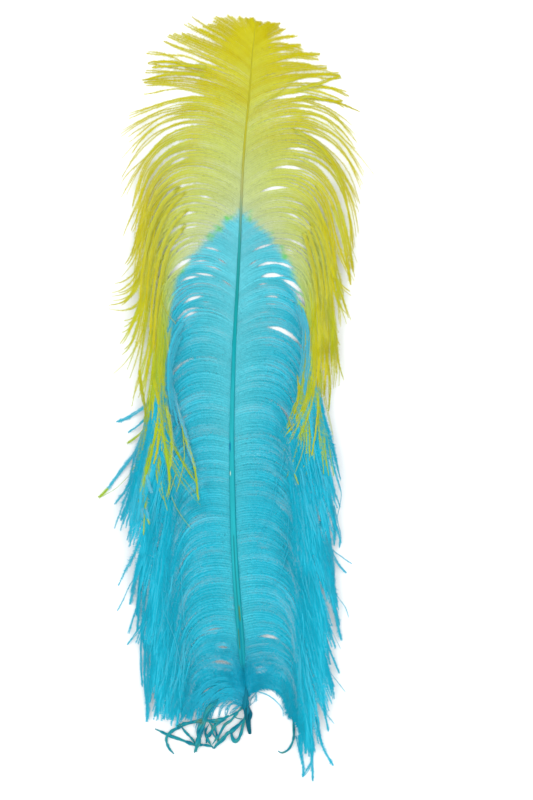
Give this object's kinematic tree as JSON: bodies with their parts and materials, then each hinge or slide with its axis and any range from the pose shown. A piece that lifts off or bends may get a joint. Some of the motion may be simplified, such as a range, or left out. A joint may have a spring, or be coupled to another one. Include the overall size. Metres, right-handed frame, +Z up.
{
  "type": "ostrich feather",
  "caption": "Long ostrich plume lying flat: a grooved shaft with arching, drooping locks of soft barbs down both sides and matted strands round the quill.",
  "frame": {"origin": "middle of the plume's bounding box, on the surface that it lies on", "axes": "+Y along the shaft towards its tip, +Z up from the surface, out of the grooved side of the shaft; +X to the right seen from above"},
  "size_m": [0.2581, 0.7025, 0.0233],
  "materials": {
    "dyed_barbs": "soft, downy barbs dip-dyed yellow at the tip and turquoise below, matt with a faint silky sheen"
  },
  "bodies": {
    "root": {"feather": "dyed_barbs"}
  },
  "joints": []
}
